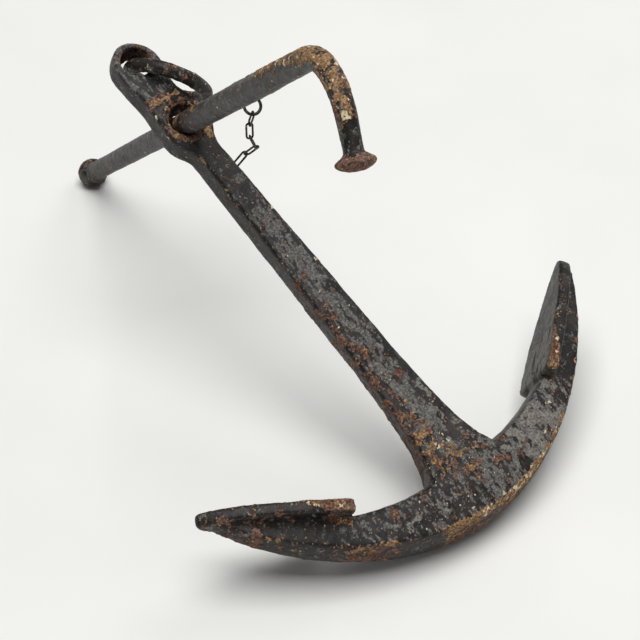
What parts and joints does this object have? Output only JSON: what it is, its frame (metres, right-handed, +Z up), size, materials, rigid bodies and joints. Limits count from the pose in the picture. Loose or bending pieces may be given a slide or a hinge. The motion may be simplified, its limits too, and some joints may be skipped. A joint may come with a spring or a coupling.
{
  "type": "anchor",
  "caption": "Small forged iron anchor with curved arms and spade palms, a loose stock bent over at one end and held by a forelock key on a light chain, and a ring at the head.",
  "frame": {"origin": "middle of the footprint on the surface that the anchor lies on", "axes": "+Z up; +Y along the shank from the crown towards the head, as seen from above; +X towards the right arm"},
  "size_m": [0.5464, 0.7594, 0.5718],
  "materials": {
    "painted_forged_iron": "worn black paint over forged iron, with rust spots and pale crust",
    "rusted_iron": "rusted and blackened forged iron",
    "blackened_iron_wire": "dark iron wire, dull, with a few rust spots"
  },
  "bodies": {
    "anchor": {"shank_and_arms": "painted_forged_iron"},
    "stock": {"stock": "painted_forged_iron", "forelock_key": "rusted_iron"},
    "head_ring": {"head_ring": "painted_forged_iron"},
    "key_ring": {"key_ring": "blackened_iron_wire"},
    "chain_link_5": {"chain_link_5": "blackened_iron_wire"},
    "chain_link_1": {"chain_link_1": "blackened_iron_wire"},
    "chain_link_2": {"chain_link_2": "blackened_iron_wire"},
    "chain_link_3": {"chain_link_3": "blackened_iron_wire"},
    "chain_link_4": {"chain_link_4": "blackened_iron_wire"},
    "chain_link_6": {"chain_link_6": "blackened_iron_wire"},
    "chain_link_7": {"chain_link_7": "blackened_iron_wire"},
    "chain_link_8": {"chain_link_8": "blackened_iron_wire"},
    "chain_link_9": {"chain_link_9": "blackened_iron_wire"},
    "chain_link_10": {"chain_link_10": "blackened_iron_wire"}
  },
  "joints": [
    {"name": "stock_turn", "type": "hinge", "parent": "anchor", "child": "stock", "pos_m": [0.00122, 0.09998, 0.27403], "axis": [-0.1956, -0.7011, 0.6857], "range_deg": [-30, 10]},
    {"name": "head_ring_swing", "type": "hinge", "parent": "anchor", "child": "head_ring", "pos_m": [-0.00128, 0.17493, 0.31325], "axis": [-0.0436, -0.4644, 0.8846], "range_deg": [0, 286]},
    {"name": "key_ring_swing", "type": "hinge", "parent": "stock", "child": "key_ring", "pos_m": [0.09569, 0.09207, 0.25497], "axis": [-0.1499, -0.6696, -0.7274], "range_deg": [-2, 5]},
    {"name": "chain_swing", "type": "hinge", "parent": "stock", "child": "chain_link_5", "pos_m": [0.09094, 0.08481, 0.25263], "axis": [-0.862, 0.423, -0.2795], "range_deg": [-4, 3]},
    {"name": "chain_link_1_turn", "type": "hinge", "parent": "chain_link_5", "child": "chain_link_1", "pos_m": [0.09165, 0.08978, 0.24053], "axis": [0.054, 0.3794, -0.9237], "range_deg": [-6, 6]},
    {"name": "chain_link_2_turn", "type": "hinge", "parent": "chain_link_5", "child": "chain_link_2", "pos_m": [0.09258, 0.09431, 0.22069], "axis": [0.085, 0.08, -0.9932], "range_deg": [-6, 6]},
    {"name": "chain_link_3_turn", "type": "hinge", "parent": "chain_link_5", "child": "chain_link_3", "pos_m": [0.09802, 0.0953, 0.20114], "axis": [0.4158, 0.068, -0.9069], "range_deg": [-6, 6]},
    {"name": "chain_link_4_turn", "type": "hinge", "parent": "chain_link_5", "child": "chain_link_4", "pos_m": [0.10175, 0.10216, 0.18401], "axis": [-0.199, 0.6226, -0.7568], "range_deg": [-6, 6]},
    {"name": "chain_link_6_turn", "type": "hinge", "parent": "chain_link_5", "child": "chain_link_6", "pos_m": [0.07341, 0.11423, 0.16285], "axis": [-0.9817, 0.1776, -0.0687], "range_deg": [-6, 6]},
    {"name": "chain_link_7_turn", "type": "hinge", "parent": "chain_link_5", "child": "chain_link_7", "pos_m": [0.05679, 0.11656, 0.17112], "axis": [-0.6698, 0.0991, 0.7359], "range_deg": [-6, 6]},
    {"name": "chain_link_8_turn", "type": "hinge", "parent": "chain_link_5", "child": "chain_link_8", "pos_m": [0.0432, 0.11854, 0.18647], "axis": [-0.6453, 0.09, 0.7586], "range_deg": [-6, 6]},
    {"name": "chain_link_9_turn", "type": "hinge", "parent": "chain_link_5", "child": "chain_link_9", "pos_m": [0.03024, 0.12041, 0.20237], "axis": [-0.6154, 0.0974, 0.7821], "range_deg": [-6, 6]},
    {"name": "chain_link_10_turn", "type": "hinge", "parent": "chain_link_5", "child": "chain_link_10", "pos_m": [0.01786, 0.12255, 0.21869], "axis": [-0.5846, 0.1045, 0.8046], "range_deg": [-6, 6]}
  ]
}
